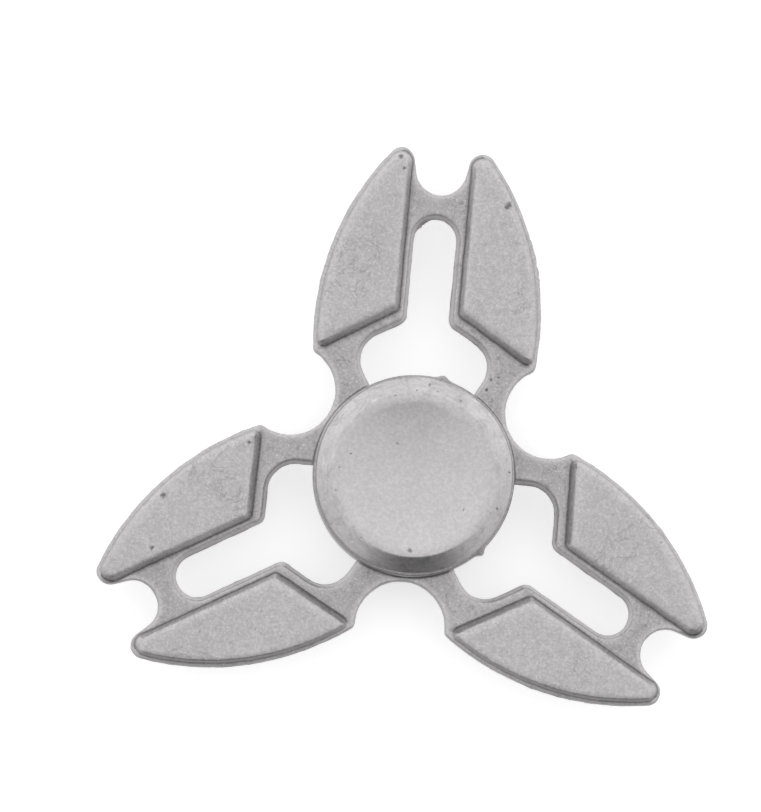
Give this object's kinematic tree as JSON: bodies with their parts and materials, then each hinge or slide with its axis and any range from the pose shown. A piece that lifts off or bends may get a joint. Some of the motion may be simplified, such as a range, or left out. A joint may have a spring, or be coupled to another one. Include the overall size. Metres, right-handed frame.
{
  "type": "fidget spinner",
  "caption": "Hand spinner: a cast frame with claw-shaped arms turns on a ball bearing between dished finger caps, so it keeps turning while the caps are pinched.",
  "frame": {"origin": "centre of the bearing: on the spin axis, midway between the two finger caps", "axes": "+Z is the spin axis, towards the upper finger cap; +Y runs out along the middle of arm 1; +X runs across the widest span, from the tips of arm 2 to the tips of arm 3"},
  "size_m": [0.0758, 0.0665, 0.0132],
  "materials": {
    "cast_alloy": "matte",
    "cap_metal": "satin",
    "stud_steel": "satin",
    "bearing_steel": "satin",
    "ball_steel": "polished",
    "pressed_steel": "satin"
  },
  "bodies": {
    "hub": {"cap_top": "cap_metal", "cap_bottom": "cap_metal", "cap_stud": "stud_steel", "inner_race": "bearing_steel"},
    "rotor": {"frame": "cast_alloy", "outer_race": "bearing_steel", "shield_top": "pressed_steel", "shield_bottom": "pressed_steel", "snap_ring_top": "stud_steel", "snap_ring_bottom": "stud_steel"},
    "cage": {"cage_top": "pressed_steel", "cage_bottom": "pressed_steel", "cage_rivets": "pressed_steel"},
    "ball_1": {"ball_1": "ball_steel"},
    "ball_2": {"ball_2": "ball_steel"},
    "ball_3": {"ball_3": "ball_steel"},
    "ball_4": {"ball_4": "ball_steel"},
    "ball_5": {"ball_5": "ball_steel"},
    "ball_6": {"ball_6": "ball_steel"},
    "ball_7": {"ball_7": "ball_steel"}
  },
  "joints": [
    {"name": "frame_spin", "type": "hinge", "parent": "hub", "child": "rotor", "pos_m": [0, 0, 0], "axis": [0, 0, 1], "continuous": true},
    {"name": "cage_spin", "type": "hinge", "parent": "hub", "child": "cage", "pos_m": [0, 0, 0], "axis": [0, 0, 1], "continuous": true},
    {"name": "ball_1_roll", "type": "hinge", "parent": "cage", "child": "ball_1", "pos_m": [0, 0.0075, 0], "axis": [0, 0, 1], "continuous": true},
    {"name": "ball_2_roll", "type": "hinge", "parent": "cage", "child": "ball_2", "pos_m": [-0.00586, 0.00468, 0], "axis": [0, 0, 1], "continuous": true},
    {"name": "ball_3_roll", "type": "hinge", "parent": "cage", "child": "ball_3", "pos_m": [-0.00731, -0.00167, 0], "axis": [0, 0, 1], "continuous": true},
    {"name": "ball_4_roll", "type": "hinge", "parent": "cage", "child": "ball_4", "pos_m": [-0.00325, -0.00676, 0], "axis": [0, 0, 1], "continuous": true},
    {"name": "ball_5_roll", "type": "hinge", "parent": "cage", "child": "ball_5", "pos_m": [0.00325, -0.00676, 0], "axis": [0, 0, 1], "continuous": true},
    {"name": "ball_6_roll", "type": "hinge", "parent": "cage", "child": "ball_6", "pos_m": [0.00731, -0.00167, 0], "axis": [0, 0, 1], "continuous": true},
    {"name": "ball_7_roll", "type": "hinge", "parent": "cage", "child": "ball_7", "pos_m": [0.00586, 0.00468, 0], "axis": [0, 0, 1], "continuous": true}
  ],
  "couplings": [
    {"joint": "cage_spin", "follows": "frame_spin", "ratio": 0.6323},
    {"joint": "ball_1_roll", "follows": "frame_spin", "ratio": 1.7574},
    {"joint": "ball_2_roll", "follows": "frame_spin", "ratio": 1.7574},
    {"joint": "ball_3_roll", "follows": "frame_spin", "ratio": 1.7574},
    {"joint": "ball_4_roll", "follows": "frame_spin", "ratio": 1.7574},
    {"joint": "ball_5_roll", "follows": "frame_spin", "ratio": 1.7574},
    {"joint": "ball_6_roll", "follows": "frame_spin", "ratio": 1.7574},
    {"joint": "ball_7_roll", "follows": "frame_spin", "ratio": 1.7574}
  ]
}
